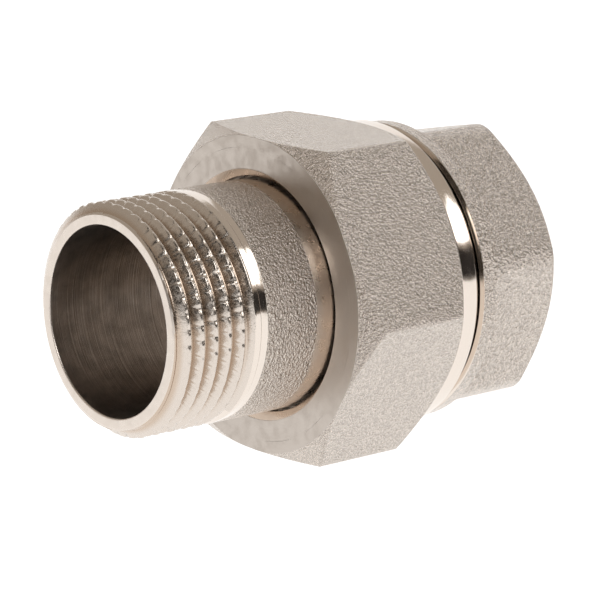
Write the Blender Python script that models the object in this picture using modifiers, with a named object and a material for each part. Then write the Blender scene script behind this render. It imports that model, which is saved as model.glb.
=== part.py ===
"""Screwed pipe union for one-inch pipe, lying on one flat of its nut.

Four pieces on one axis: a male tailpiece with a threaded end and a flange, a hexagonal
union nut whose lip holds that flange, a female body end that the nut screws on to, and
an O-ring on the tailpiece's nose. The pipe axis runs along +X, from the male thread to
the female socket, and +Z is up. The origin is under the middle of the union, on the
surface that the nut's lowest flat rests on.
"""

import math

import bmesh
import bpy
from mathutils import Matrix, Vector

MM = 0.001
OBJECT_NAME = "pipe_union"

# Driving dimensions, in millimetres. Stations are measured along the pipe axis from the
# male end's face, and every radius is from that axis.
TOTAL_LENGTH = 66.8
RUNNING_GAP = 0.35          # clear space left between neighbouring pieces
BORE_RADIUS = 13.5

# One-inch parallel pipe thread, on the tailpiece and in the female socket.
PIPE_PITCH = 2.309
PIPE_MAJOR_RADIUS = 16.62
PIPE_MINOR_RADIUS = 15.14
PIPE_FLANK_ANGLE = math.radians(27.5)
PIPE_ROOT_FLAT = 0.30

# The nut's own thread, 41 mm across with a 2 mm pitch.
NUT_PITCH = 2.0
NUT_THREAD_RADIUS = 20.5
NUT_THREAD_DEPTH = 1.1
NUT_FLANK_ANGLE = math.radians(30.0)
NUT_CREST_FLAT = 0.33
THREAD_CLEARANCE = 0.3      # radial, at the crests and roots of the nut's thread
FLANK_CLEARANCE = 0.2       # along the axis, on each flank of the nut's thread

# Union nut.
NUT_FACE = 25.91            # station of the face with the opening
NUT_ACROSS_FLATS = 45.7
NUT_CORNER_RADIUS = 26.34   # the hexagon's corners are turned to this radius
NUT_FACE_RADIUS = 22.98
NUT_NEAR_CORNER = 28.26     # where the near chamfer meets the corners
NUT_FAR_CORNER = 42.52      # where the far chamfer meets the corners
NUT_COLLAR_START = 45.80
NUT_COLLAR_RADIUS = 22.70
NUT_COLLAR_END = 48.40
NUT_END = 49.93
NUT_END_RADIUS = 21.40
LIP_RADIUS = 17.0
LIP_CHAMFER_RADIUS = 18.16
LIP_CHAMFER_DEPTH = 1.07
LIP_END = 29.40
NUT_RELIEF_RADIUS = 20.90
NUT_THREAD_START = 37.40

# Tailpiece.
THREAD_END = 13.90
PLAIN_BAND_RADIUS = 16.50
NECK_START = 15.20
NECK_RADIUS = LIP_RADIUS - RUNNING_GAP
TIP_FACE_RADIUS = 14.90
TIP_CHAMFER_LENGTH = 1.10
FLANGE_RADIUS = 19.30
FLANGE_END = 35.20
NOSE_RADIUS = 17.20
NOSE_END = 43.60
NOSE_CHAMFER = 0.60

# O-ring and its groove.
SEAL_STATION = 39.70
SEAL_CORD_RADIUS = 0.90
SEAL_GAP = 0.25
GROOVE_RADIUS = 15.30
SEAL_CENTRE_RADIUS = GROOVE_RADIUS + SEAL_GAP + SEAL_CORD_RADIUS

# Female body end.
SPIGOT_FACE = FLANGE_END + RUNNING_GAP
SPIGOT_THREAD_END = 47.00
SPIGOT_RELIEF_RADIUS = 19.30
SOCKET_RADIUS = SEAL_CENTRE_RADIUS + SEAL_CORD_RADIUS + SEAL_GAP
SOCKET_END = NOSE_END + 0.40
SHOULDER = NUT_END + 0.32
COLLAR_RADIUS = 22.10
COLLAR_START = 50.55
HEX_START = 52.70
HEX_ACROSS_FLATS = 39.50
HEX_CHAMFER_START = 64.49
HEX_TURN = math.radians(-13.38)  # how far the body's hexagon is turned from the nut's
END_FACE_RADIUS = 19.17
PIPE_SOCKET_START = 50.90
PIPE_THREAD_START = 54.20
MOUTH_RADIUS = 17.20

# How finely round shapes are divided.
TURN_STEPS = 36
PIPE_HELIX_STEPS = 24
NUT_HELIX_STEPS = 32
SEAL_STEPS = 36
SEAL_CORD_STEPS = 8
HELIX_OFFSET = math.radians(2.6)

# Finishes: colour, roughness and metallic value.
PLATED_CAST = ((0.62, 0.56, 0.50, 1.0), 0.48, 1.0)
PLATED_TURNED = ((0.70, 0.65, 0.58, 1.0), 0.25, 1.0)
RUBBER = ((0.02, 0.02, 0.02, 1.0), 0.60, 0.0)

# Every piece is modelled upright, with the pipe axis along its own Z, and laid down by
# this transform: local Z becomes world X, and local X points straight down.
AXIS_HEIGHT = NUT_ACROSS_FLATS / 2.0
LAY_DOWN = Matrix.Translation(
    Vector((-TOTAL_LENGTH / 2.0 * MM, 0.0, AXIS_HEIGHT * MM))
) @ Matrix.Rotation(math.radians(90.0), 4, "Y")


def clear_scene():
    """Remove every object that the file opens with."""
    for obj in list(bpy.data.objects):
        bpy.data.objects.remove(obj, do_unlink=True)


def new_collection(name):
    """Add a collection to the scene."""
    collection = bpy.data.collections.new(name)
    bpy.context.scene.collection.children.link(collection)
    return collection


def new_material(name, finish):
    """Make a Principled material from a colour, a roughness and a metallic value."""
    colour, roughness, metallic = finish
    material = bpy.data.materials.new(name)
    material.use_nodes = True
    shader = material.node_tree.nodes["Principled BSDF"]
    shader.inputs["Base Color"].default_value = colour
    shader.inputs["Roughness"].default_value = roughness
    shader.inputs["Metallic"].default_value = metallic
    return material


def add_object(name, mesh, collection):
    """Put a mesh in a collection as an object laid along the pipe axis."""
    obj = bpy.data.objects.new(name, mesh)
    obj.matrix_world = LAY_DOWN
    collection.objects.link(obj)
    return obj


def mark_cutter(obj):
    """Keep a cutter out of the renders and draw it as a wire."""
    obj.hide_render = True
    obj.display_type = "WIRE"


def outline_mesh(name, outline):
    """Make a closed outline of (radius, station) points in millimetres, as edges only."""
    bm = bmesh.new()
    verts = [bm.verts.new((radius * MM, 0.0, station * MM)) for radius, station in outline]
    for first, second in zip(verts, verts[1:] + verts[:1]):
        bm.edges.new((first, second))
    mesh = bpy.data.meshes.new(name)
    bm.to_mesh(mesh)
    bm.free()
    return mesh


def turned(name, outline, collection, steps=TURN_STEPS):
    """Turn a closed outline about the pipe axis. It runs down its outer side first."""
    obj = add_object(name, outline_mesh(name, outline), collection)
    screw = obj.modifiers.new("turn", "SCREW")
    screw.axis = "Z"
    screw.angle = 2.0 * math.pi
    screw.steps = steps
    screw.render_steps = steps
    screw.use_merge_vertices = True
    screw.merge_threshold = 0.000001
    screw.use_smooth_shade = True
    return obj


def hex_prism(name, across_flats, start, end, turn, collection):
    """Make a hexagonal bar along the pipe axis, with a flat facing down when turn is 0."""
    bm = bmesh.new()
    bmesh.ops.create_cone(
        bm,
        cap_ends=True,
        segments=6,
        radius1=across_flats / 2.0 / math.cos(math.pi / 6.0) * MM,
        radius2=across_flats / 2.0 / math.cos(math.pi / 6.0) * MM,
        depth=(end - start) * MM,
    )
    # The first corner stands on local Y, so the flats face local X, which is down.
    bmesh.ops.rotate(bm, verts=bm.verts, matrix=Matrix.Rotation(turn, 3, "Z"))
    middle = Vector((0.0, 0.0, (start + end) / 2.0 * MM))
    bmesh.ops.translate(bm, verts=bm.verts, vec=middle)
    mesh = bpy.data.meshes.new(name)
    bm.to_mesh(mesh)
    bm.free()
    obj = add_object(name, mesh, collection)
    mark_cutter(obj)
    return obj


def helix_cutter(name, section, pitch, steps_per_turn, start, end, collection):
    """Sweep a closed (radius, offset) section along a right-hand helix between stations."""
    bm = bmesh.new()
    corners = [
        bm.verts.new((radius * MM, 0.0, (start + offset) * MM)) for radius, offset in section
    ]
    face = bm.faces.new(corners)
    steps = round((end - start) / pitch * steps_per_turn)
    bmesh.ops.spin(
        bm,
        geom=list(face.verts) + list(face.edges) + [face],
        axis=(0.0, 0.0, 1.0),
        dvec=(0.0, 0.0, pitch / steps_per_turn * MM),
        angle=steps / steps_per_turn * 2.0 * math.pi,
        steps=steps,
    )
    bmesh.ops.recalc_face_normals(bm, faces=bm.faces)
    # A small turn keeps the helix's corners off those of the round blanks it cuts.
    bmesh.ops.rotate(bm, verts=bm.verts, matrix=Matrix.Rotation(HELIX_OFFSET, 3, "Z"))
    mesh = bpy.data.meshes.new(name)
    bm.to_mesh(mesh)
    bm.free()
    obj = add_object(name, mesh, collection)
    mark_cutter(obj)
    return obj


def groove_section(bottom_radius, bottom_flat, open_radius, flank_angle):
    """Give the trapezoid that cuts a thread groove, from its bottom to its open side."""
    reach = abs(open_radius - bottom_radius)
    open_flat = bottom_flat + 2.0 * reach * math.tan(flank_angle)
    return [
        (bottom_radius, -bottom_flat / 2.0),
        (bottom_radius, bottom_flat / 2.0),
        (open_radius, open_flat / 2.0),
        (open_radius, -open_flat / 2.0),
    ]


def apply_cutter(obj, cutter, operation):
    """Add an exact Boolean of the given kind to a piece."""
    boolean = obj.modifiers.new(cutter.name, "BOOLEAN")
    boolean.operation = operation
    boolean.solver = "EXACT"
    boolean.object = cutter


def weld_slivers(obj):
    """Close up the tiny edges that the cuts leave."""
    weld = obj.modifiers.new("weld", "WELD")
    weld.merge_threshold = 0.000004


def make_tailpiece(parts, cutters):
    """Male tailpiece: threaded end, plain neck, flange behind the lip, grooved nose."""
    groove_half = SEAL_CORD_RADIUS + RUNNING_GAP
    flange_start = LIP_END + RUNNING_GAP
    outline = [
        (BORE_RADIUS, NOSE_END),
        (NOSE_RADIUS - NOSE_CHAMFER, NOSE_END),
        (NOSE_RADIUS, NOSE_END - NOSE_CHAMFER),
        (NOSE_RADIUS, SEAL_STATION + groove_half),
        (GROOVE_RADIUS, SEAL_STATION + groove_half),
        (GROOVE_RADIUS, SEAL_STATION - groove_half),
        (NOSE_RADIUS, SEAL_STATION - groove_half),
        (NOSE_RADIUS, FLANGE_END),
        (FLANGE_RADIUS, FLANGE_END),
        (FLANGE_RADIUS, flange_start + NOSE_CHAMFER),
        (FLANGE_RADIUS - NOSE_CHAMFER, flange_start),
        (NECK_RADIUS, flange_start),
        (NECK_RADIUS, NECK_START),
        (PLAIN_BAND_RADIUS, NECK_START),
        (PLAIN_BAND_RADIUS, THREAD_END),
        (PIPE_MAJOR_RADIUS, THREAD_END),
        (PIPE_MAJOR_RADIUS, TIP_CHAMFER_LENGTH),
        (TIP_FACE_RADIUS, 0.0),
        (BORE_RADIUS, 0.0),
    ]
    tail = turned("male_tailpiece", outline, parts)
    section = groove_section(
        PIPE_MINOR_RADIUS, PIPE_ROOT_FLAT, PIPE_MAJOR_RADIUS + 0.3, PIPE_FLANK_ANGLE
    )
    cutter = helix_cutter(
        "pipe_thread_cutter",
        section,
        PIPE_PITCH,
        PIPE_HELIX_STEPS,
        -1.5 * PIPE_PITCH,
        THREAD_END - PIPE_PITCH / 2.0,
        cutters,
    )
    apply_cutter(tail, cutter, "DIFFERENCE")
    return tail


def make_seal(parts):
    """O-ring on the tailpiece's nose."""
    ring = [
        (
            SEAL_CENTRE_RADIUS + SEAL_CORD_RADIUS * math.cos(angle),
            SEAL_STATION + SEAL_CORD_RADIUS * math.sin(angle),
        )
        for angle in (-2.0 * math.pi * k / SEAL_CORD_STEPS for k in range(SEAL_CORD_STEPS))
    ]
    return turned("seal_ring", ring, parts, SEAL_STEPS)


def make_nut(parts, cutters):
    """Union nut: chamfered hexagon, turned collar, inner lip and internal thread."""
    tip_radius = NUT_THREAD_RADIUS - NUT_THREAD_DEPTH + THREAD_CLEARANCE
    root_radius = NUT_THREAD_RADIUS + THREAD_CLEARANCE
    mouth = NUT_END - (NUT_RELIEF_RADIUS - tip_radius)
    outline = [
        (NUT_RELIEF_RADIUS, NUT_END),
        (NUT_END_RADIUS, NUT_END),
        (NUT_COLLAR_RADIUS, NUT_COLLAR_END),
        (NUT_COLLAR_RADIUS, NUT_COLLAR_START),
        (NUT_CORNER_RADIUS, NUT_FAR_CORNER),
        (NUT_CORNER_RADIUS, NUT_NEAR_CORNER),
        (NUT_FACE_RADIUS, NUT_FACE),
        (LIP_CHAMFER_RADIUS, NUT_FACE),
        (LIP_RADIUS, NUT_FACE + LIP_CHAMFER_DEPTH),
        (LIP_RADIUS, LIP_END),
        (NUT_RELIEF_RADIUS, LIP_END),
        (NUT_RELIEF_RADIUS, NUT_THREAD_START),
        (tip_radius, NUT_THREAD_START),
        (tip_radius, mouth),
    ]
    nut = turned("union_nut", outline, parts)
    bar = hex_prism(
        "nut_hexagon", NUT_ACROSS_FLATS, NUT_FACE - 5.0, NUT_END + 5.0, 0.0, cutters
    )
    apply_cutter(nut, bar, "INTERSECT")
    # The nut's groove is the spigot's tooth with the clearances added round it, so it
    # lies half a pitch from the spigot's groove.
    bottom_flat = NUT_CREST_FLAT + 2.0 * FLANK_CLEARANCE - (
        2.0 * THREAD_CLEARANCE * math.tan(NUT_FLANK_ANGLE)
    )
    section = groove_section(root_radius, bottom_flat, tip_radius - 0.15, NUT_FLANK_ANGLE)
    cutter = helix_cutter(
        "nut_thread_cutter",
        section,
        NUT_PITCH,
        NUT_HELIX_STEPS,
        SPIGOT_FACE + NUT_PITCH / 2.0,
        SPIGOT_FACE + NUT_PITCH * 8.5,
        cutters,
    )
    apply_cutter(nut, cutter, "DIFFERENCE")
    return nut


def make_body(parts, cutters):
    """Female body end: threaded spigot, collar, hexagon and threaded socket."""
    root_radius = NUT_THREAD_RADIUS - NUT_THREAD_DEPTH
    outline = [
        (MOUTH_RADIUS, TOTAL_LENGTH),
        (END_FACE_RADIUS, TOTAL_LENGTH),
        (COLLAR_RADIUS, HEX_CHAMFER_START),
        (COLLAR_RADIUS, COLLAR_START),
        (NUT_END_RADIUS, SHOULDER),
        (SPIGOT_RELIEF_RADIUS, SHOULDER),
        (SPIGOT_RELIEF_RADIUS, SPIGOT_THREAD_END),
        (NUT_THREAD_RADIUS, SPIGOT_THREAD_END),
        (NUT_THREAD_RADIUS, SPIGOT_FACE + NUT_THREAD_RADIUS - SPIGOT_RELIEF_RADIUS),
        (SPIGOT_RELIEF_RADIUS, SPIGOT_FACE),
        (SOCKET_RADIUS, SPIGOT_FACE),
        (SOCKET_RADIUS, SOCKET_END),
        (BORE_RADIUS, SOCKET_END),
        (BORE_RADIUS, PIPE_SOCKET_START),
        (PIPE_MINOR_RADIUS, PIPE_SOCKET_START),
        (PIPE_MINOR_RADIUS, TOTAL_LENGTH - (MOUTH_RADIUS - PIPE_MINOR_RADIUS)),
    ]
    body = turned("female_body", outline, parts)
    # A sleeve with a hexagonal hole takes the six flats off the round casting.
    sleeve_outline = [
        (END_FACE_RADIUS - 5.0, TOTAL_LENGTH + 5.0),
        (COLLAR_RADIUS + 5.0, TOTAL_LENGTH + 5.0),
        (COLLAR_RADIUS + 5.0, HEX_START),
        (END_FACE_RADIUS - 5.0, HEX_START),
    ]
    sleeve = turned("hexagon_sleeve", sleeve_outline, cutters)
    mark_cutter(sleeve)
    bar = hex_prism(
        "body_hexagon",
        HEX_ACROSS_FLATS,
        HEX_START - 5.0,
        TOTAL_LENGTH + 10.0,
        HEX_TURN,
        cutters,
    )
    apply_cutter(sleeve, bar, "DIFFERENCE")
    apply_cutter(body, sleeve, "DIFFERENCE")

    root_flat = NUT_PITCH - NUT_CREST_FLAT - (
        2.0 * NUT_THREAD_DEPTH * math.tan(NUT_FLANK_ANGLE)
    )
    section = groove_section(root_radius, root_flat, NUT_THREAD_RADIUS + 0.15, NUT_FLANK_ANGLE)
    spigot_cutter = helix_cutter(
        "spigot_thread_cutter",
        section,
        NUT_PITCH,
        NUT_HELIX_STEPS,
        SPIGOT_FACE - NUT_PITCH,
        SPIGOT_FACE + NUT_PITCH * 6.5,
        cutters,
    )
    apply_cutter(body, spigot_cutter, "DIFFERENCE")

    socket_section = groove_section(
        PIPE_MAJOR_RADIUS, PIPE_ROOT_FLAT, PIPE_MINOR_RADIUS - 0.3, PIPE_FLANK_ANGLE
    )
    socket_cutter = helix_cutter(
        "socket_thread_cutter",
        socket_section,
        PIPE_PITCH,
        PIPE_HELIX_STEPS,
        PIPE_THREAD_START,
        PIPE_THREAD_START + PIPE_PITCH * 6.5,
        cutters,
    )
    apply_cutter(body, socket_cutter, "DIFFERENCE")
    return body


def main():
    """Build the union."""
    clear_scene()
    parts = new_collection(OBJECT_NAME)
    cutters = new_collection("cutters")
    pieces = (
        (make_body(parts, cutters), PLATED_CAST),
        (make_seal(parts), RUBBER),
        (make_nut(parts, cutters), PLATED_CAST),
        (make_tailpiece(parts, cutters), PLATED_TURNED),
    )
    for piece, finish in pieces:
        weld_slivers(piece)
        piece.data.materials.append(new_material(piece.name + "_finish", finish))


main()
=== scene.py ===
"""Looks of a screwed pipe union: threaded tailpiece, union nut, female body end and seal.

Every piece is modelled along its own X axis, the pipe axis, in stations measured from
the male end's face, and is then set on the frame's axis. Lengths are in metres.
"""

import math

import bmesh
import bpy
from bpy.props import FloatProperty, FloatVectorProperty, IntProperty, PointerProperty
from mathutils import Matrix, Vector, noise


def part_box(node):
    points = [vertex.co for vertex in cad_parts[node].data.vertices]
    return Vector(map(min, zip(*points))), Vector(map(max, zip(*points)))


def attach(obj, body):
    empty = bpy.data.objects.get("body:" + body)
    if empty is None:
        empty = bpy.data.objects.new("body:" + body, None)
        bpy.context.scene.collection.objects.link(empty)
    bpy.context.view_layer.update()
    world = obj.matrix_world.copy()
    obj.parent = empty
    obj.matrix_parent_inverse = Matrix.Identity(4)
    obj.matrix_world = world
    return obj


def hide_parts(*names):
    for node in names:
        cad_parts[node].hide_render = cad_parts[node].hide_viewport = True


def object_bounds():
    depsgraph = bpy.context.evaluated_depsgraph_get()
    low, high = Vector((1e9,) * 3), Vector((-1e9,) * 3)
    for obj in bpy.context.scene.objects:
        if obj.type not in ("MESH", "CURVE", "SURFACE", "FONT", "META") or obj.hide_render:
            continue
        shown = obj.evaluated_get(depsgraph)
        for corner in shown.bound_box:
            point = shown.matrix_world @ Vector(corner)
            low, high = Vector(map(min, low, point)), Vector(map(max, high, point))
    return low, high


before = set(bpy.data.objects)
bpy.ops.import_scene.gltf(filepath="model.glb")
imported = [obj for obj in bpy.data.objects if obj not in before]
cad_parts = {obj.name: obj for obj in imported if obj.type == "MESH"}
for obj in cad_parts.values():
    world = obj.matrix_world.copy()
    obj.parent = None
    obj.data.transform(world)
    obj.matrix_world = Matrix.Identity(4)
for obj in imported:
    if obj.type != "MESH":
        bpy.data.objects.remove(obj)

bl_info = {
    "name": "Pipe Union",
    "version": (1, 0, 0),
    "blender": (4, 5, 0),
    "location": "3D View > Sidebar > Pipe Union",
    "description": "Models a nickel-plated one-inch pipe union and its studio stage",
    "category": "Add Mesh",
}

MM = 0.001
FULL_TURN = 2.0 * math.pi
SIXTH_TURN = math.pi / 3.0

CAD_BOX = [list(corner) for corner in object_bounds()]
NUT_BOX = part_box("union_nut")
AXIS_START = Vector(
    (CAD_BOX[0][0], 0.0, (NUT_BOX[0].z + NUT_BOX[1].z) / 2.0)
)  # where the pipe axis leaves the male end's face
TOTAL_LENGTH = CAD_BOX[1][0] - CAD_BOX[0][0]
NUT_HALF_FLATS = (NUT_BOX[1].z - NUT_BOX[0].z) / 2.0
NUT_FACE = NUT_BOX[0].x - AXIS_START.x
NUT_END = NUT_BOX[1].x - AXIS_START.x
NOSE_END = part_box("male_tailpiece")[1].x - AXIS_START.x
SPIGOT_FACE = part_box("female_body")[0].x - AXIS_START.x
SEAL_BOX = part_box("seal_ring")

# Each thread's crest passes this angle, about the pipe axis from +Y, at its crest station.
THREAD_PHASE = math.radians(-87.4)
ON_PLANE = 0.02 * MM        # how near a cut a vertex counts as lying on it
MERGE = 0.004 * MM          # how near to each other two vertices become one
SHARP_ANGLE = math.radians(38.0)
RING_DRIFT = 0.00006        # how far a turning mark wanders to a radian, in metres
FLOOR_GAP = 0.2 * MM


# ---------------------------------------------------------------- settings


def size(label, text, millimetres):
    """Make a length property, given in millimetres."""
    return FloatProperty(
        name=label,
        description=text,
        default=millimetres * MM,
        min=0.0,
        precision=5,
        unit="LENGTH",
    )


def tint(label, text, colour):
    """Make a colour property."""
    return FloatVectorProperty(
        name=label,
        description=text,
        default=colour,
        min=0.0,
        max=1.0,
        size=3,
        subtype="COLOR",
    )


def turn(label, text, degrees):
    """Make an angle property, given in degrees."""
    return FloatProperty(
        name=label, description=text, default=math.radians(degrees), subtype="ANGLE"
    )


def share(label, text, value):
    """Make a property between nought and one."""
    return FloatProperty(name=label, description=text, default=value, min=0.0, max=1.0)


class UnionShared(bpy.types.PropertyGroup):
    """Sizes that more than one piece uses."""

    columns: IntProperty(
        name="Columns",
        description="Faces round each turned surface",
        default=384,
        min=96,
    )
    edge: size("Edge", "Radius that sharp turned edges are eased to", 0.12)
    bore: size("Bore", "Radius of the waterway", 13.5)
    neck: size("Neck", "Radius of the tailpiece's neck", 16.65)
    pipe_pitch: size("Pipe pitch", "Pitch of the one-inch pipe thread", 2.309)
    pipe_major: size("Pipe major", "Outer radius of the pipe thread", 16.62)
    pipe_minor: size("Pipe minor", "Inner radius of the pipe thread", 15.14)
    pipe_flank: turn("Pipe flank", "Half of the pipe thread's angle", 27.5)
    nut_pitch: size("Nut pitch", "Pitch of the nut's own thread", 2.0)
    nut_thread: size("Nut thread", "Outer radius of the spigot's thread", 20.5)
    nut_depth: size("Nut thread depth", "Depth of the nut's own thread", 1.1)
    nut_flank: turn("Nut flank", "Half of the nut thread's angle", 30.0)
    play: size("Play", "Radial clearance of the nut's thread", 0.3)


class UnionTailpiece(bpy.types.PropertyGroup):
    """Male tailpiece."""

    thread_end: size("Thread end", "Station where the thread stops", 13.9)
    band: size("Plain band", "Radius of the plain band behind the thread", 16.5)
    neck_start: size("Neck start", "Station where the neck starts", 15.2)
    tip: size("Tip", "Outer radius of the end face", 14.9)
    tip_chamfer: size("Tip chamfer", "Length of the chamfer on the thread's tip", 1.1)
    notches: IntProperty(
        name="Notches", description="Notches rolled across each thread crest", default=48
    )
    notch_depth: size("Notch depth", "Depth of the notches in the crests", 0.26)
    notch_width: size("Notch width", "Half width of a notch", 0.55)
    turned_from: size("Turned neck", "Station from which the neck is turned bright", 23.9)
    flange: size("Flange", "Radius of the flange behind the nut's lip", 19.3)
    flange_start: size("Flange start", "Station of the flange's front", 29.75)
    flange_end: size("Flange end", "Station of the flange's back", 35.2)
    nose: size("Nose", "Radius of the nose", 17.2)
    groove: size("Groove", "Radius of the seal's groove", 15.3)
    groove_half: size("Groove half", "Half of the groove's width", 1.25)


class UnionNut(bpy.types.PropertyGroup):
    """Union nut."""

    corner: size("Corner", "Radius that the hexagon's corners are turned to", 26.34)
    face: size("Face", "Radius of the face with the opening", 22.98)
    near_corner: size("Near corner", "Station where the near chamfer ends", 28.26)
    far_corner: size("Far corner", "Station where the far chamfer starts", 42.52)
    collar_start: size("Collar start", "Station where the far chamfer ends", 45.8)
    collar: size("Collar", "Radius of the turned collar", 22.7)
    collar_end: size("Collar end", "Station where the collar's chamfer starts", 48.4)
    end: size("End", "Radius of the far face", 21.4)
    lip: size("Lip", "Radius of the opening", 17.0)
    lip_edge: size("Lip edge", "Radius of the opening's chamfer", 18.16)
    lip_chamfer: size("Lip chamfer", "Depth of the opening's chamfer", 1.07)
    lip_end: size("Lip end", "Station of the lip's back", 29.4)
    relief: size("Relief", "Radius of the hollow behind the lip", 20.9)
    thread_start: size("Thread start", "Station where the thread starts", 37.4)
    easing: size("Easing", "How far the forged edges are eased", 0.32)


class UnionBody(bpy.types.PropertyGroup):
    """Female body end."""

    thread_end: size("Thread end", "Station where the spigot's thread stops", 47.0)
    relief: size("Relief", "Radius of the spigot behind its thread", 19.3)
    socket: size("Seal bore", "Radius of the bore that the seal runs in", 17.6)
    socket_end: size("Seal bore end", "Station where the seal's bore ends", 44.0)
    shoulder: size("Shoulder", "Station of the shoulder", 50.25)
    shoulder_edge: size("Shoulder edge", "Outer radius of the shoulder's face", 21.4)
    collar: size("Collar", "Radius of the collar", 22.1)
    collar_start: size("Collar start", "Station where the front cone ends", 50.55)
    hex_start: size("Hexagon start", "Station where the flats start", 52.7)
    half_flats: size("Half across flats", "Distance of each flat from the axis", 19.75)
    hex_turn: turn("Hexagon turn", "How far the hexagon is turned from the nut's", -13.38)
    fillet: size("Fillet", "Radius at the foot of each flat", 0.8)
    chamfer_start: size("Chamfer start", "Station where the end chamfer starts", 64.49)
    end: size("End", "Outer radius of the end face", 19.17)
    drill_start: size("Socket drill", "Station where the pipe socket starts", 50.9)
    socket_thread: size("Socket thread", "Station where the socket's thread starts", 54.2)
    mouth: size("Mouth", "Radius of the socket's mouth", 17.2)
    easing: size("Easing", "How far the forged edges are eased", 0.5)


class UnionFinish(bpy.types.PropertyGroup):
    """Colours and finishes."""

    nickel: tint("Nickel", "Plating on the blasted and turned faces", (0.75, 0.668, 0.595))
    # Painted shade: the thread roots are mixed toward this darker colour, standing in for the
    # shade in them.
    painted_root_shade: tint("Painted root shade", "Plating in the roots of the threads", (0.55, 0.44, 0.35))
    # A darker plating colour for the inside of the bore.
    dull: tint("Dull plating", "Thin plating inside the bore", (0.49, 0.435, 0.39))
    rubber: tint("Rubber", "Seal", (0.018, 0.018, 0.018))
    blasted: share("Blasted roughness", "Roughness of the forged and blasted faces", 0.22)
    turned: share("Turned roughness", "Roughness of the bright turned faces", 0.1)
    satin: share("Satin roughness", "Roughness of the nut's turned face", 0.3)
    grain: size("Grain", "Size of the blasted faces' grain", 0.38)
    feed: size("Feed", "Spacing of the turning marks", 0.16)


class UnionStage(bpy.types.PropertyGroup):
    """Floor, light and camera."""

    floor_side: size("Floor side", "Side of the square floor", 6000.0)
    floor_light: FloatProperty(
        name="Floor light", description="Radiance of the lit floor", default=1.2, min=0.0
    )
    camera_place: FloatVectorProperty(
        name="Camera place",
        description="Where the camera stands",
        default=(-0.27712, -0.32856, 0.13378),
        size=3,
        subtype="TRANSLATION",
    )
    camera_yaw: turn("Camera yaw", "Heading from +Y toward +X", 39.967)
    camera_pitch: turn("Camera pitch", "Tilt above the horizon", -13.18)
    camera_roll: turn("Camera roll", "Turn about the line of sight", 0.08)
    camera_lean: turn("Camera lean", "Lean of the whole view about the pipe axis", -1.99)
    rig_lean: turn("Rig lean", "Lean of the light cards about the pipe axis", 3.98)
    lens: FloatProperty(
        name="Lens", description="Focal length in millimetres", default=184.65, min=1.0
    )


# ---------------------------------------------------------------- turning


def rounded(corners, segments=3):
    """Round an outline's corners. Each corner is (station, radius) or (…, fillet)."""
    points = [Vector(corner[:2]) for corner in corners]
    outline = [points[0]]
    for index in range(1, len(corners) - 1):
        corner = points[index]
        fillet = corners[index][2] if len(corners[index]) > 2 else 0.0
        back = points[index - 1] - corner
        ahead = points[index + 1] - corner
        bend = math.pi - back.angle(ahead)
        if fillet == 0.0 or bend < 0.01:
            outline.append(corner)
            continue
        reach = min(
            fillet * math.tan(bend / 2.0), 0.45 * back.length, 0.45 * ahead.length
        )
        start = corner + back.normalized() * reach
        end = corner + ahead.normalized() * reach
        for step in range(segments + 1):
            part = step / segments
            # A quadratic curve through the corner stands for the arc.
            outline.append(
                start * (1.0 - part) ** 2 + corner * 2.0 * part * (1.0 - part) + end * part**2
            )
    outline.append(points[-1])
    return [tuple(point) for point in outline]


def divided(outline, start, end, spacing):
    """Add points to an outline where it runs between two stations, at most spacing apart."""
    points = [outline[0]]
    for first, second in zip(outline, outline[1:]):
        inside = start <= min(first[0], second[0]) and max(first[0], second[0]) <= end
        reach = math.dist(first, second)
        count = max(1, math.ceil(reach / spacing)) if inside else 1
        for step in range(1, count + 1):
            part = step / count
            points.append(tuple(a + (b - a) * part for a, b in zip(first, second)))
    return points


def thread_section(pitch, major, minor, flank, arc_steps=3):
    """Give one pitch of a rounded thread, crest to crest, as (offset, radius) points."""
    sharp_height = pitch / 2.0 / math.tan(flank)
    apex = 1.0 / math.sin(flank) - 1.0
    rounding = (sharp_height - (major - minor)) / (2.0 * apex)
    crest = []
    for step in range(arc_steps + 1):
        angle = (math.pi / 2.0 - flank) * step / arc_steps
        crest.append((rounding * math.sin(angle), rounding * (1.0 - math.cos(angle))))
    down = [(offset, major - drop) for offset, drop in crest]
    root = [(pitch / 2.0 - offset, minor + drop) for offset, drop in reversed(crest)]
    half = down + root
    mirrored = [(pitch - offset, radius) for offset, radius in reversed(half[:-1])]
    return half + mirrored


def radius_of(vert):
    """Distance of a vertex from the pipe axis."""
    return math.hypot(vert.co.y, vert.co.z)


def angle_of(vert):
    """Angle of a vertex about the pipe axis, from +Y toward +Z."""
    return math.atan2(vert.co.z, vert.co.y)


def move_to(vert, radius, angle):
    """Put a vertex at a radius and an angle about the pipe axis."""
    vert.co.y = radius * math.cos(angle)
    vert.co.z = radius * math.sin(angle)


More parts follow.
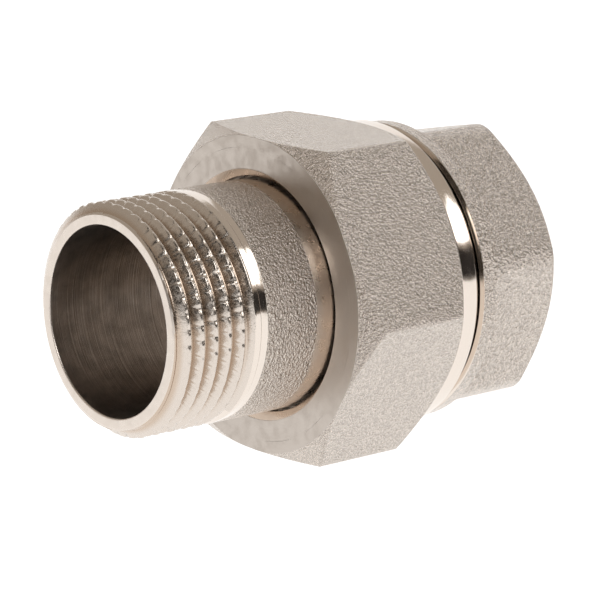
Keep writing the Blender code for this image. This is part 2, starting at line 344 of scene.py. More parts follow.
def threaded_sleeve(section, pitch, crest_station, start, end, columns):
    """Screw a thread's section along a right-hand helix and cut both ends square."""
    bm = bmesh.new()
    first = crest_station + pitch * math.floor((start - pitch - crest_station) / pitch)
    turns = math.ceil((end - first) / pitch) + 1
    verts = [bm.verts.new((first + offset, radius, 0.0)) for offset, radius in section]
    edges = [bm.edges.new(pair) for pair in zip(verts, verts[1:])]
    bmesh.ops.spin(
        bm,
        geom=verts + edges,
        axis=(1.0, 0.0, 0.0),
        dvec=(pitch / columns, 0.0, 0.0),
        angle=FULL_TURN,
        steps=columns,
    )
    one_turn = bm.verts[:] + bm.edges[:] + bm.faces[:]
    for number in range(1, turns):
        made = bmesh.ops.duplicate(bm, geom=one_turn)["geom"]
        moved = [item for item in made if isinstance(item, bmesh.types.BMVert)]
        bmesh.ops.translate(bm, verts=moved, vec=(number * pitch, 0.0, 0.0))
    bmesh.ops.remove_doubles(bm, verts=bm.verts, dist=MERGE)
    bmesh.ops.rotate(bm, verts=bm.verts, matrix=Matrix.Rotation(THREAD_PHASE, 3, "X"))
    for station, low_side in ((start, True), (end, False)):
        bmesh.ops.bisect_plane(
            bm,
            geom=bm.verts[:] + bm.edges[:] + bm.faces[:],
            dist=ON_PLANE,
            plane_co=(station, 0.0, 0.0),
            plane_no=(1.0, 0.0, 0.0),
            clear_inner=low_side,
            clear_outer=not low_side,
        )
        for vert in bm.verts:
            if abs(vert.co.x - station) <= ON_PLANE:
                vert.co.x = station
    return bm


def open_ring(bm, station):
    """Find the open ring of edges at a station."""
    return [
        edge
        for edge in bm.edges
        if edge.is_boundary
        and all(abs(vert.co.x - station) < 2.0 * ON_PLANE for vert in edge.verts)
    ]


def draw_out(bm, ring, outline):
    """Extrude an open ring through (station, radius) points and give its last ring."""
    for station, radius in outline:
        made = bmesh.ops.extrude_edge_only(bm, edges=ring)["geom"]
        ring = [
            item for item in made if isinstance(item, bmesh.types.BMEdge) and item.is_boundary
        ]
        for vert in {vert for edge in ring for vert in edge.verts}:
            move_to(vert, radius, angle_of(vert))
            vert.co.x = station
    return ring


def eased_min(first, second, easing):
    """The smaller of two radii, with the edge between them eased."""
    near = max(0.0, 1.0 - abs(first - second) / easing)
    return min(first, second) - near * near * easing / 4.0


def mill_hexagon(verts, half_flats, hex_turn, easing, foot):
    """Draw columns toward the hexagon's corners and bring each vertex in to its flat."""
    gather = 0.8  # how strongly the columns crowd toward the corners
    for vert in verts:
        angle = angle_of(vert)
        past_flat = (angle + math.pi / 2.0 - hex_turn + SIXTH_TURN / 2.0) % SIXTH_TURN
        past_flat -= SIXTH_TURN / 2.0
        shift = gather / 6.0 * math.sin(6.0 * past_flat)
        angle += shift
        past_flat += shift
        this_flat = half_flats / math.cos(past_flat)
        next_flat = half_flats / math.cos(SIXTH_TURN - abs(past_flat))
        hexagon = eased_min(this_flat, next_flat, easing) + foot(vert.co.x)
        move_to(vert, eased_min(radius_of(vert), hexagon, easing), angle)


def paint(bm, finish, low, high, inner, outer):
    """Give a finish to the faces between two stations and two radii."""
    for face in bm.faces:
        middle = face.calc_center_median()
        radius = math.hypot(middle.y, middle.z)
        if low <= middle.x <= high and inner <= radius <= outer:
            face.material_index = finish


def face_outward(bm):
    """Turn a closed shell's faces outward, and refuse a shell that is open."""
    bmesh.ops.recalc_face_normals(bm, faces=bm.faces)
    if bm.calc_volume(signed=True) < 0.0:
        bmesh.ops.reverse_faces(bm, faces=bm.faces)
    left = [edge for edge in bm.edges if not edge.is_manifold]
    if left:
        raise RuntimeError(f"the shell is open at {len(left)} edges")


def add_piece(bm, name, finishes, body, node):
    """Set a modelled piece on the frame's axis and let it stand for its CAD node."""
    bmesh.ops.translate(bm, verts=bm.verts, vec=AXIS_START)
    mesh = bpy.data.meshes.new(name)
    bm.to_mesh(mesh)
    bm.free()
    mesh.shade_smooth()
    mesh.set_sharp_from_angle(angle=SHARP_ANGLE)
    for finish in finishes:
        mesh.materials.append(finish)
    obj = bpy.data.objects.new(name, mesh)
    bpy.context.scene.collection.objects.link(obj)
    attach(obj, body)
    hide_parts(node)


# ---------------------------------------------------------------- finishes


def add_node(tree, kind, inputs=None, **settings):
    """Add a node, set its options, and fill or link its inputs."""
    made = tree.nodes.new(kind)
    for name, value in settings.items():
        setattr(made, name, value)
    for name, value in (inputs or {}).items():
        if isinstance(value, bpy.types.NodeSocket):
            tree.links.new(value, made.inputs[name])
        else:
            made.inputs[name].default_value = value
    return made


def new_finish(name, colour, roughness, metallic=1.0):
    """Make a material and give its node tree and shader."""
    material = bpy.data.materials.new(name)
    material.use_nodes = True
    tree = material.node_tree
    shader = tree.nodes["Principled BSDF"]
    shader.inputs["Base Color"].default_value = (*colour, 1.0)
    shader.inputs["Roughness"].default_value = roughness
    shader.inputs["Metallic"].default_value = metallic
    return material, tree, shader


def place_on_axis(tree):
    """Give the place on a piece, measured from the pipe axis."""
    place = add_node(tree, "ShaderNodeTexCoord").outputs["Object"]
    moved = add_node(
        tree,
        "ShaderNodeMapping",
        {"Vector": place, "Location": (0.0, 0.0, -AXIS_START.z)},
        vector_type="POINT",
    )
    return moved.outputs["Vector"]


def station_and_radius(tree, place):
    """Give (station, radius, a little of the angle) and the radius alone."""
    split = add_node(tree, "ShaderNodeSeparateXYZ", {"Vector": place})
    across = add_node(
        tree,
        "ShaderNodeCombineXYZ",
        {"Y": split.outputs["Y"], "Z": split.outputs["Z"]},
    )
    radius = add_node(
        tree, "ShaderNodeVectorMath", {0: across.outputs[0]}, operation="LENGTH"
    ).outputs["Value"]
    angle = add_node(
        tree,
        "ShaderNodeMath",
        {0: split.outputs["Z"], 1: split.outputs["Y"]},
        operation="ARCTAN2",
    )
    drift = add_node(
        tree, "ShaderNodeMath", {0: angle.outputs[0], 1: RING_DRIFT}, operation="MULTIPLY"
    )
    laid = add_node(
        tree,
        "ShaderNodeCombineXYZ",
        {"X": split.outputs["X"], "Y": radius, "Z": drift.outputs[0]},
    )
    return laid.outputs[0], radius


def grain_of(tree, place, spacing, detail=2.0, roughness=0.5):
    """Give noise with grains of a size, in metres."""
    return add_node(
        tree,
        "ShaderNodeTexNoise",
        {"Vector": place, "Scale": 1.0 / spacing, "Detail": detail, "Roughness": roughness},
    ).outputs["Fac"]


def raised(tree, height, depth, under=None):
    """Make a bump of a height texture, over the bump under it."""
    inputs = {"Height": height, "Distance": depth, "Strength": 1.0}
    if under is not None:
        inputs["Normal"] = under
    return add_node(tree, "ShaderNodeBump", inputs).outputs["Normal"]


def between(tree, value, low, high, to_low=0.0, to_high=1.0):
    """Map a value from one range to another, smoothly."""
    return add_node(
        tree,
        "ShaderNodeMapRange",
        {
            "Value": value,
            "From Min": low,
            "From Max": high,
            "To Min": to_low,
            "To Max": to_high,
        },
        interpolation_type="SMOOTHSTEP",
    ).outputs["Result"]


def mixed(tree, part, first, second):
    """Mix two colours."""
    made = tree.nodes.new("ShaderNodeMix")
    made.data_type = "RGBA"
    tree.links.new(part, made.inputs["Factor"])
    for name, colour in (("A", first), ("B", second)):
        socket = next(s for s in made.inputs if s.name == name and s.type == "RGBA")
        if isinstance(colour, bpy.types.NodeSocket):
            tree.links.new(colour, socket)
        else:
            socket.default_value = (*colour, 1.0)
    return next(s for s in made.outputs if s.type == "RGBA")


def darker(colour, part):
    """Scale a colour."""
    return tuple(channel * part for channel in colour)


def blasted_nickel(finish, name="blasted_nickel", coarse=1.0):
    """Plating over a forged and shot-blasted face: small sparkling grains, with painted shade
    darkening the grains' pits.
    """
    material, tree, shader = new_finish(name, finish.nickel, finish.blasted)
    place = place_on_axis(tree)
    grain = finish.grain * coarse
    pits = grain_of(tree, place, grain, 2.0, 0.6)
    waves = grain_of(tree, place, 2.4 * MM, 1.0)
    # Partly grain, partly painted shade: the colour follows the same noise as the bump, so the
    # bump's pits come out darker.
    pit_shade_colour = darker(finish.nickel, 0.86)
    pit_depth = 2.3 * grain
    pit_grain_and_shade = mixed(tree, between(tree, pits, 0.36, 0.6), pit_shade_colour, finish.nickel)
    tree.links.new(pit_grain_and_shade, shader.inputs["Base Color"])
    swell = raised(tree, waves, 0.05 * MM)
    normal = raised(tree, pits, pit_depth, swell)
    tree.links.new(normal, shader.inputs["Normal"])
    return material


def turned_nickel(finish, name="turned_nickel", roughness=None, cut=0.006, painted_shade=1.0):
    """Plating over a turned face: fine rings about the pipe axis, and painted shade where the
    nickel is darkened below one.
    """
    roughness = finish.turned if roughness is None else roughness
    material, tree, shader = new_finish(name, darker(finish.nickel, painted_shade), roughness)
    place = place_on_axis(tree)
    laid, _ = station_and_radius(tree, place)
    rings = grain_of(tree, laid, finish.feed, 4.0, 0.7)
    haze = grain_of(tree, place, 1.6 * MM, 3.0)
    normal = raised(tree, rings, cut * MM)
    tree.links.new(normal, shader.inputs["Normal"])
    tree.links.new(
        between(tree, haze, 0.3, 0.7, roughness * 0.8, roughness * 1.3),
        shader.inputs["Roughness"],
    )
    return material


def thread_nickel(finish, shared):
    """Plating over a cut thread: a darker copy of the nickel as painted shade, with bright
    crests and more painted shade in the roots.
    """
    # Painted shade: the thread gets a darker copy of the nickel, 0.88 of it.
    nickel = darker(finish.nickel, 0.88)
    material, tree, shader = new_finish("thread_nickel", nickel, finish.turned)
    place = place_on_axis(tree)
    _, radius = station_and_radius(tree, place)
    # Painted shade in the roots: the colour darkens toward the thread's minor radius.
    painted_root_shade = between(tree, radius, shared.pipe_minor, shared.pipe_major - 0.5 * MM)
    colour = mixed(tree, painted_root_shade, finish.painted_root_shade, nickel)
    tree.links.new(colour, shader.inputs["Base Color"])
    grain = grain_of(tree, place, 0.3 * MM, 2.0, 0.6)
    rough = raised(tree, grain, 0.02 * MM)
    tree.links.new(rough, shader.inputs["Normal"])
    tree.links.new(between(tree, grain, 0.3, 0.7, 0.16, 0.32), shader.inputs["Roughness"])
    return material


def bore_nickel(finish):
    """Darker, dull plating over the drilled bore, with the drill's rings."""
    material, tree, shader = new_finish("bore_nickel", finish.dull, 0.28)
    place = place_on_axis(tree)
    laid, _ = station_and_radius(tree, place)
    rings = grain_of(tree, laid, 0.35 * MM, 4.0, 0.7)
    normal = raised(tree, rings, 0.06 * MM)
    tree.links.new(normal, shader.inputs["Normal"])
    cloud = grain_of(tree, place, 3.0 * MM, 3.0)
    colour = mixed(
        tree, between(tree, cloud, 0.3, 0.7), darker(finish.dull, 0.8), darker(finish.dull, 1.15)
    )
    tree.links.new(colour, shader.inputs["Base Color"])
    return material


def seal_rubber(finish):
    """Black nitrile rubber, slightly greasy."""
    material, tree, shader = new_finish("seal_rubber", finish.rubber, 0.5, 0.0)
    place = place_on_axis(tree)
    bloom = grain_of(tree, place, 0.9 * MM, 3.0)
    tree.links.new(between(tree, bloom, 0.3, 0.7, 0.35, 0.6), shader.inputs["Roughness"])
    normal = raised(tree, grain_of(tree, place, 0.12 * MM), 0.006 * MM)
    tree.links.new(normal, shader.inputs["Normal"])
    return material


# ---------------------------------------------------------------- pieces


def notch_crests(bm, shared, tail):
    """Press notches across the crests of the male thread."""
    arc = FULL_TURN * shared.pipe_major / tail.notches
    lean_threads = 9.0  # threads along which a row of notches leans by one notch
    waver = 0.12
    ragged_depth = 0.03 * MM
    ragged_size = 0.9 * MM
    for vert in bm.verts:
        if vert.co.x > tail.thread_end - shared.pipe_pitch / 2.0:
            continue
        angle = angle_of(vert)
        lean = vert.co.x / (lean_threads * shared.pipe_pitch)
        along = angle / FULL_TURN * tail.notches + lean
        number = round(along)
        wander = noise.noise(Vector((number * 0.77, vert.co.x / shared.pipe_pitch, 3.0)))
        off = abs(along - number + waver * wander) * arc
        bite = max(0.0, 1.0 - (off / tail.notch_width) ** 2)
        depth = tail.notch_depth * (0.85 + 0.6 * wander) * bite
        ragged = ragged_depth * noise.noise(vert.co / ragged_size)
        limit = shared.pipe_major - depth - max(0.0, ragged)
        if radius_of(vert) > limit:
            move_to(vert, limit, angle)


def make_tailpiece(shared, tail, finishes):
    """Male tailpiece, from its thread along the neck and back through the bore."""
    start = 0.15 * MM
    section = thread_section(
        shared.pipe_pitch, shared.pipe_major, shared.pipe_minor, shared.pipe_flank
    )
    bm = threaded_sleeve(
        section, shared.pipe_pitch, 0.0, start, tail.thread_end, shared.columns
    )
    fade_end = tail.thread_end - shared.pipe_pitch / 2.0
    fade = 0.35 * shared.pipe_pitch
    slope = (shared.pipe_major - tail.tip) / tail.tip_chamfer
    for vert in bm.verts:
        angle = angle_of(vert)
        turns = ((angle - THREAD_PHASE) % FULL_TURN) / FULL_TURN
        groove = math.floor(vert.co.x / shared.pipe_pitch - turns) + 0.5 + turns
        left = (fade_end - groove * shared.pipe_pitch) / fade
        kept = min(1.0, max(0.0, left))
        radius = shared.pipe_major - (shared.pipe_major - radius_of(vert)) * kept
        cone = tail.tip + slope * vert.co.x
        move_to(vert, min(radius, cone), angle)
    notch_crests(bm, shared, tail)

    near = open_ring(bm, start)
    far = open_ring(bm, tail.thread_end)
    edge = shared.edge
    outline = divided(
        rounded(
            [
                (tail.thread_end, shared.pipe_major),
                (tail.thread_end + 0.12 * MM, tail.band, edge),
                (tail.neck_start - 0.05 * MM, tail.band, edge),
                (tail.neck_start + 0.15 * MM, shared.neck, edge),
                (tail.turned_from, shared.neck, 0.0),
                (tail.flange_start, shared.neck, edge),
                (tail.flange_start, tail.flange, 0.6 * MM),
                (tail.flange_end, tail.flange, 0.4 * MM),
                (tail.flange_end, tail.nose, edge),
                (seal_station() - tail.groove_half, tail.nose, edge),
                (seal_station() - tail.groove_half, tail.groove, edge),
                (seal_station() + tail.groove_half, tail.groove, edge),
                (seal_station() + tail.groove_half, tail.nose, edge),
                (NOSE_END, tail.nose, 0.6 * MM),
                (NOSE_END, shared.bore, 0.3 * MM),
                (0.0, shared.bore, 0.25 * MM),
                (0.0, tail.tip, 0.15 * MM),
                (start, tail.tip + slope * start),
            ]
        ),
        0.0,
        TOTAL_LENGTH,
        spacing=2.5 * MM,
    )
    last = draw_out(bm, far, outline[1:-1])
    bmesh.ops.bridge_loops(bm, edges=last + near)
    face_outward(bm)

    # The first finish stays on every face that isn't painted.
    _, blasted, thread, bore, satin = range(5)
    paint(bm, thread, -MM, tail.thread_end - 0.9 * MM, shared.pipe_minor - 0.05 * MM, 1.0)
    paint(bm, blasted, tail.neck_start, tail.turned_from, shared.neck - 0.2 * MM, 1.0)
    paint(bm, satin, tail.turned_from, tail.flange_start, shared.neck - 0.2 * MM, 1.0)
    paint(bm, satin, -MM, 0.3 * MM, shared.bore, tail.tip + 0.3 * MM)
    paint(bm, bore, 0.3 * MM, NOSE_END, 0.0, shared.bore + 0.3 * MM)
    add_piece(
        bm, "threaded_tailpiece", finishes, "tail", "male_tailpiece"
    )


def seal_station():
    """Station of the seal's middle."""
    return (SEAL_BOX[0].x + SEAL_BOX[1].x) / 2.0 - AXIS_START.x


def make_seal(shared, finishes):
    """O-ring: a round cord turned about the pipe axis."""
    cord = (SEAL_BOX[1].x - SEAL_BOX[0].x) / 2.0
    centre = (SEAL_BOX[1].z - SEAL_BOX[0].z) / 2.0 - cord
    bm = bmesh.new()
    made = bmesh.ops.create_circle(bm, segments=28, radius=cord)
    bmesh.ops.translate(bm, verts=made["verts"], vec=(seal_station(), centre, 0.0))
    bmesh.ops.spin(
        bm,
        geom=bm.verts[:] + bm.edges[:],
        axis=(1.0, 0.0, 0.0),
        angle=FULL_TURN,
        steps=shared.columns // 2,
        use_merge=True,
    )
    face_outward(bm)
    add_piece(bm, "o_ring", finishes, "seal", "seal_ring")


def make_nut(shared, nut, finishes):
    """Union nut, from its thread round the lip and the hexagon to the far face."""
    milled_from = 21.3 * MM  # the hexagon is cut only outside this radius
    blasted_from = 21.0 * MM
    face_ring = 21.5 * MM
    minor = shared.nut_thread - shared.nut_depth + shared.play
    major = shared.nut_thread + shared.play
    section = thread_section(shared.nut_pitch, major, minor, shared.nut_flank)
    crest = SPIGOT_FACE + shared.nut_pitch / 2.0
    bm = threaded_sleeve(
        section, shared.nut_pitch, crest, nut.thread_start, NUT_END, shared.columns
    )
    for vert in bm.verts:
        nearest_end = min(vert.co.x - nut.thread_start, NUT_END - vert.co.x)
        radius = max(radius_of(vert), nut.relief - nearest_end)
        move_to(vert, radius, angle_of(vert))
    near = open_ring(bm, nut.thread_start)
    far = open_ring(bm, NUT_END)
    edge = shared.edge
    outline = rounded(
        [
            (nut.thread_start, nut.relief),
            (nut.lip_end, nut.relief, 0.5 * MM),
            (nut.lip_end, nut.lip, edge),
            (NUT_FACE + nut.lip_chamfer, nut.lip, 0.2 * MM),
            (NUT_FACE, nut.lip_edge, 0.2 * MM),
            (NUT_FACE, blasted_from),
            (NUT_FACE, face_ring),
            (NUT_FACE, nut.face, edge),
            (nut.near_corner, nut.corner, edge),
            (nut.far_corner, nut.corner, edge),
            (nut.collar_start, nut.collar, edge),
            (nut.collar_end, nut.collar, edge),
            (NUT_END, nut.end, edge),
            (NUT_END, nut.relief + 0.1 * MM),
        ]
    )
    outline = divided(outline, NUT_FACE - edge, nut.near_corner + edge, spacing=0.1 * MM)
    outline = divided(
        outline, nut.far_corner - edge, nut.collar_start + edge, spacing=0.12 * MM
    )
    outline = divided(outline, nut.lip_end - TOTAL_LENGTH, TOTAL_LENGTH, spacing=1.6 * MM)
    last = draw_out(bm, near, outline[1:])
    bmesh.ops.bridge_loops(bm, edges=last + far)
    outer = [vert for vert in bm.verts if radius_of(vert) > milled_from]
    mill_hexagon(outer, NUT_HALF_FLATS, 0.0, nut.easing, lambda station: 0.0)
    face_outward(bm)

    _, blasted, satin, inside = range(4)
    paint(bm, blasted, NUT_FACE, nut.collar_start - edge, blasted_from, 1.0)
    paint(bm, satin, NUT_FACE - MM, NUT_FACE + 0.02 * MM, nut.lip_edge, nut.face)
    paint(bm, inside, nut.lip_end, NUT_END - 0.2 * MM, 0.0, nut.relief + 0.05 * MM)
    add_piece(bm, "hexagonal_union_nut", finishes, "nut", "union_nut")


def make_body(shared, body, finishes):
    """Female body end, from its spigot along the hexagon and back through the socket."""
    milled_from = 18.8 * MM  # the hexagon is cut only outside this radius
    blasted_from = 19.2 * MM
    shoulder_ring = 20.5 * MM
    end_ring = 18.3 * MM
    edge = shared.edge
    minor = shared.nut_thread - shared.nut_depth
    section = thread_section(shared.nut_pitch, shared.nut_thread, minor, shared.nut_flank)
    crest = SPIGOT_FACE + shared.nut_pitch / 2.0
    bm = threaded_sleeve(
        section, shared.nut_pitch, crest, SPIGOT_FACE, body.thread_end, shared.columns
    )
    for vert in bm.verts:
        from_face = vert.co.x - SPIGOT_FACE
        from_end = body.thread_end - vert.co.x
        limit = body.relief + min(from_face, from_end)
        move_to(vert, min(radius_of(vert), limit), angle_of(vert))
    front = open_ring(bm, SPIGOT_FACE)
    back = open_ring(bm, body.thread_end)

    bite = shared.pipe_major - shared.pipe_minor
    sleeve_end = TOTAL_LENGTH - 0.4 * MM
    socket = threaded_sleeve(
        thread_section(
            shared.pipe_pitch, shared.pipe_major, shared.pipe_minor, shared.pipe_flank
        ),
        shared.pipe_pitch,
        body.socket_thread,
        body.socket_thread,
        sleeve_end,
        shared.columns,
    )
    for vert in socket.verts:
        from_start = vert.co.x - body.socket_thread
        radius = min(radius_of(vert), shared.pipe_minor + min(bite, from_start))
        radius = max(radius, body.mouth - (TOTAL_LENGTH - vert.co.x))
        move_to(vert, radius, angle_of(vert))
    mesh = bpy.data.meshes.new("socket_thread")
    socket.to_mesh(mesh)
    socket.free()
    bm.from_mesh(mesh)
    bpy.data.meshes.remove(mesh)
    socket_back = open_ring(bm, body.socket_thread)
    socket_front = open_ring(bm, sleeve_end)

    wall = 0.04 * MM
    outside = rounded(
        [
            (body.thread_end, body.relief),
            (body.shoulder, body.relief, edge),
            (body.shoulder, shoulder_ring),
            (body.shoulder, body.shoulder_edge, edge),
            (body.collar_start, body.collar, edge),
            (body.hex_start, body.collar),
            (body.hex_start + wall, body.collar),
            (body.hex_start + body.fillet, body.collar),
            (body.chamfer_start, body.collar, edge),
            (TOTAL_LENGTH, body.end, edge),
            (TOTAL_LENGTH, end_ring),
            (TOTAL_LENGTH, body.mouth, edge),
            (sleeve_end, body.mouth - (TOTAL_LENGTH - sleeve_end)),
        ]
    )
    foot_end = body.hex_start + body.fillet
    outside = divided(outside, body.collar_start, foot_end, spacing=0.1 * MM)
    outside = divided(outside, body.chamfer_start - edge, TOTAL_LENGTH, spacing=0.12 * MM)
    outside = divided(outside, body.thread_end, TOTAL_LENGTH, spacing=1.6 * MM)
    last = draw_out(bm, back, outside[1:-1])
    bmesh.ops.bridge_loops(bm, edges=last + socket_front)
    inside = rounded(
        [
            (SPIGOT_FACE, body.relief),
            (SPIGOT_FACE, body.socket, 0.3 * MM),
            (body.socket_end, body.socket, edge),
            (body.socket_end, shared.bore, edge),
            (body.drill_start, shared.bore, edge),
            (body.drill_start, shared.pipe_minor, edge),
            (body.socket_thread, shared.pipe_minor),
        ]
    )
    inside = divided(inside, SPIGOT_FACE, TOTAL_LENGTH, spacing=2.0 * MM)
    last = draw_out(bm, front, inside[1:-1])
    bmesh.ops.bridge_loops(bm, edges=last + socket_back)

    def foot(station):
        """How far above its flat the wall and its fillet stand."""
        along = station - body.hex_start
        if along < wall:
            return body.collar
        rest = max(0.0, body.fillet - along)
        return body.fillet - math.sqrt(body.fillet**2 - rest**2)

    outer = [
        vert
        for vert in bm.verts
        if vert.co.x > body.shoulder - ON_PLANE and radius_of(vert) > milled_from
    ]
    mill_hexagon(outer, body.half_flats, body.hex_turn, body.easing, foot)
    face_outward(bm)

    _, blasted, inner = range(3)
    paint(bm, blasted, body.collar_start, TOTAL_LENGTH - 0.3 * MM, blasted_from, 1.0)
    paint(bm, inner, SPIGOT_FACE + 0.3 * MM, TOTAL_LENGTH, 0.0, shared.pipe_major + MM)
    add_piece(
        bm, "female_body_casting", finishes, "body_end", "female_body"
    )


# ---------------------------------------------------------------- stage


LOW_SKY = (0.42, 0.365, 0.31)
HIGH_SKY = (0.46, 0.42, 0.37)

# Each card has its azimuth, elevation, half width, half height and softness, in degrees,
# and its radiance.
LIGHT_CARDS = (
    # dark band low down
    (-45.0, 6.0, 75.0, 8.5, 4.0, (0.03, 0.027, 0.025)),
    # backdrop
    (50.0, 14.0, 42.0, 24.0, 6.0, (1.1, 1.09, 1.08)),
    # darkness behind the camera
    (-130.0, 22.0, 50.0, 60.0, 8.0, (0.05, 0.045, 0.04)),
    # softbox
    (-40.0, 31.0, 10.5, 13.0, 1.5, (3.3, 3.3, 3.3)),
    # front light
    (-127.0, 31.0, 20.0, 12.0, 3.0, (3.4, 3.4, 3.4)),
)


def card_span(tree, angle, centre, half, soft):
    """Give one where an angle lies within half of a centre, in degrees, and else nought."""
    off = add_node(
        tree, "ShaderNodeMath", {0: angle, 1: math.radians(centre)}, operation="SUBTRACT"
    ).outputs[0]
    wrapped = add_node(
        tree, "ShaderNodeMath", {0: off, 1: math.pi, 2: -math.pi}, operation="WRAP"
    ).outputs[0]
    far = add_node(tree, "ShaderNodeMath", {0: wrapped}, operation="ABSOLUTE").outputs[0]
    inner = math.radians(half - soft / 2.0)
    outer = math.radians(half + soft / 2.0)
    return between(tree, far, inner, outer, 1.0, 0.0)


def make_sky(scene, stage):
    """Dim warm surroundings with dark and bright cards in them."""
    world = bpy.data.worlds.new("studio")
    scene.world = world
    world.use_nodes = True
    tree = world.node_tree
    background = tree.nodes["Background"]
    way = add_node(tree, "ShaderNodeTexCoord").outputs["Generated"]
    leaned = add_node(
        tree, "ShaderNodeMapping", {"Vector": way, "Rotation": (stage.rig_lean, 0.0, 0.0)}
    )
    split = add_node(tree, "ShaderNodeSeparateXYZ", {"Vector": leaned.outputs["Vector"]})
    azimuth = add_node(
        tree,
        "ShaderNodeMath",
        {0: split.outputs["Y"], 1: split.outputs["X"]},
        operation="ARCTAN2",
    ).outputs[0]
    elevation = add_node(
        tree, "ShaderNodeMath", {0: split.outputs["Z"]}, operation="ARCSINE"
    ).outputs[0]
    height = between(tree, elevation, 0.0, math.radians(70.0))
    colour = mixed(tree, height, LOW_SKY, HIGH_SKY)
    for side, up, half_width, half_height, soft, light in LIGHT_CARDS:
        across = card_span(tree, azimuth, side, half_width, soft)
        upward = card_span(tree, elevation, up, half_height, soft)
        cover = add_node(
            tree, "ShaderNodeMath", {0: across, 1: upward}, operation="MULTIPLY"
        ).outputs[0]
        colour = mixed(tree, cover, colour, light)
    seen = add_node(tree, "ShaderNodeLightPath").outputs["Is Camera Ray"]
    tree.links.new(mixed(tree, seen, colour, (1.0, 1.0, 1.0)), background.inputs["Color"])


def make_floor(stage):
    """Plain white floor, lit evenly from below."""
    bm = bmesh.new()
    bmesh.ops.create_grid(bm, x_segments=1, y_segments=1, size=stage.floor_side / 2.0)
    bmesh.ops.translate(bm, verts=bm.verts, vec=(0.0, 0.0, CAD_BOX[0][2] - FLOOR_GAP))
    mesh = bpy.data.meshes.new("floor")
    bm.to_mesh(mesh)
    bm.free()
    material = bpy.data.materials.new("white_floor")
    material.use_nodes = True
    shader = material.node_tree.nodes["Principled BSDF"]
    shader.inputs["Base Color"].default_value = (0.0, 0.0, 0.0, 1.0)
    shader.inputs["Roughness"].default_value = 1.0
    shader.inputs["Specular IOR Level"].default_value = 0.0
    shader.inputs["Emission Color"].default_value = (1.0, 1.0, 1.0, 1.0)
    shader.inputs["Emission Strength"].default_value = stage.floor_light
    mesh.materials.append(material)
    floor = bpy.data.objects.new("floor", mesh)
    bpy.context.scene.collection.objects.link(floor)


def make_camera(scene, stage):
    """Camera with a long lens, low and in front of the male end."""
    data = bpy.data.cameras.new("camera")
    data.lens = stage.lens
    data.clip_start = 0.01
    data.clip_end = 20.0
    camera = bpy.data.objects.new("camera", data)
    scene.collection.objects.link(camera)
    camera.matrix_world = (
        Matrix.Translation(stage.camera_place)
        @ Matrix.Rotation(stage.camera_lean, 4, "X")
        @ Matrix.Rotation(-stage.camera_yaw, 4, "Z")
        @ Matrix.Rotation(math.pi / 2.0 + stage.camera_pitch, 4, "X")
        @ Matrix.Rotation(stage.camera_roll, 4, "Z")
    )
    scene.camera = camera


# ---------------------------------------------------------------- operators


class UNION_OT_make_tailpiece(bpy.types.Operator):
    """Model the male tailpiece"""

    bl_idname = "union.make_tailpiece"
    bl_label = "Make Tailpiece"

    def execute(self, context):
        scene = context.scene
        finish = scene.union_finish
        finishes = (
            turned_nickel(finish, "turned_tailpiece"),
            blasted_nickel(finish, "blasted_neck"),
            thread_nickel(finish, scene.union_shared),
            bore_nickel(finish),
            # Painted shade: the turned neck band and the tip face get the nickel darkened to
            # 0.92.
            turned_nickel(finish, "satin_neck_shaded", finish.satin, 0.01, 0.92),
        )
        make_tailpiece(scene.union_shared, scene.union_tailpiece, finishes)
        return {"FINISHED"}


class UNION_OT_make_seal(bpy.types.Operator):
    """Model the O-ring"""

    bl_idname = "union.make_seal"
    bl_label = "Make Seal"

    def execute(self, context):
        scene = context.scene
        make_seal(scene.union_shared, (seal_rubber(scene.union_finish),))
        return {"FINISHED"}


class UNION_OT_make_nut(bpy.types.Operator):
    """Model the union nut"""

    bl_idname = "union.make_nut"
    bl_label = "Make Nut"

    def execute(self, context):
        scene = context.scene
        finish = scene.union_finish
        finishes = (
            turned_nickel(finish, "turned_collar"),
            blasted_nickel(finish, "blasted_nut"),
            # Painted shade: the nut's turned face gets the nickel darkened to 0.68.
            turned_nickel(finish, "satin_nut_face_shaded", 0.36, 0.02, 0.68),
            turned_nickel(finish, "nut_inside", 0.22, 0.02),
        )
        make_nut(scene.union_shared, scene.union_nut, finishes)
        return {"FINISHED"}


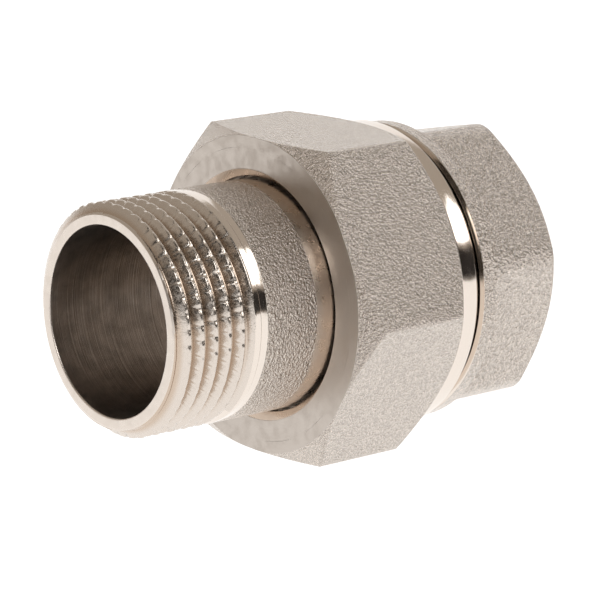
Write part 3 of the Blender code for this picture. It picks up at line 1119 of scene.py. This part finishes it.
class UNION_OT_make_body(bpy.types.Operator):
    """Model the female body end"""

    bl_idname = "union.make_body"
    bl_label = "Make Body End"

    def execute(self, context):
        scene = context.scene
        finish = scene.union_finish
        finishes = (
            turned_nickel(finish, "turned_body"),
            blasted_nickel(finish, "blasted_body", 1.35),
            turned_nickel(finish, "body_inside", 0.25, 0.03),
        )
        make_body(scene.union_shared, scene.union_body, finishes)
        return {"FINISHED"}


class UNION_OT_make_stage(bpy.types.Operator):
    """Set up the floor, the light and the camera"""

    bl_idname = "union.make_stage"
    bl_label = "Make Stage"

    def execute(self, context):
        scene = context.scene
        scene.view_settings.view_transform = "Standard"
        make_sky(scene, scene.union_stage)
        make_floor(scene.union_stage)
        make_camera(scene, scene.union_stage)
        return {"FINISHED"}


class UNION_PT_panel(bpy.types.Panel):
    """List the union's pieces"""

    bl_idname = "UNION_PT_panel"
    bl_label = "Pipe Union"
    bl_space_type = "VIEW_3D"
    bl_region_type = "UI"
    bl_category = "Pipe Union"

    def draw(self, context):
        for operator in OPERATORS:
            self.layout.operator(operator.bl_idname)


OPERATORS = (
    UNION_OT_make_stage,
    UNION_OT_make_tailpiece,
    UNION_OT_make_seal,
    UNION_OT_make_nut,
    UNION_OT_make_body,
)
SETTINGS = {
    "union_shared": UnionShared,
    "union_tailpiece": UnionTailpiece,
    "union_nut": UnionNut,
    "union_body": UnionBody,
    "union_finish": UnionFinish,
    "union_stage": UnionStage,
}


def register():
    """Register the settings, the operators and the panel."""
    for name, group in SETTINGS.items():
        bpy.utils.register_class(group)
        setattr(bpy.types.Scene, name, PointerProperty(type=group))
    for made in (*OPERATORS, UNION_PT_panel):
        bpy.utils.register_class(made)


def unregister():
    """Take the settings, the operators and the panel away again."""
    for made in (UNION_PT_panel, *reversed(OPERATORS)):
        bpy.utils.unregister_class(made)
    for name, group in reversed(SETTINGS.items()):
        delattr(bpy.types.Scene, name)
        bpy.utils.unregister_class(group)


def main():
    """Build the whole scene."""
    register()
    bpy.ops.union.make_stage()
    bpy.ops.union.make_tailpiece()
    bpy.ops.union.make_seal()
    bpy.ops.union.make_nut()
    bpy.ops.union.make_body()


if __name__ == "__main__":
    main()
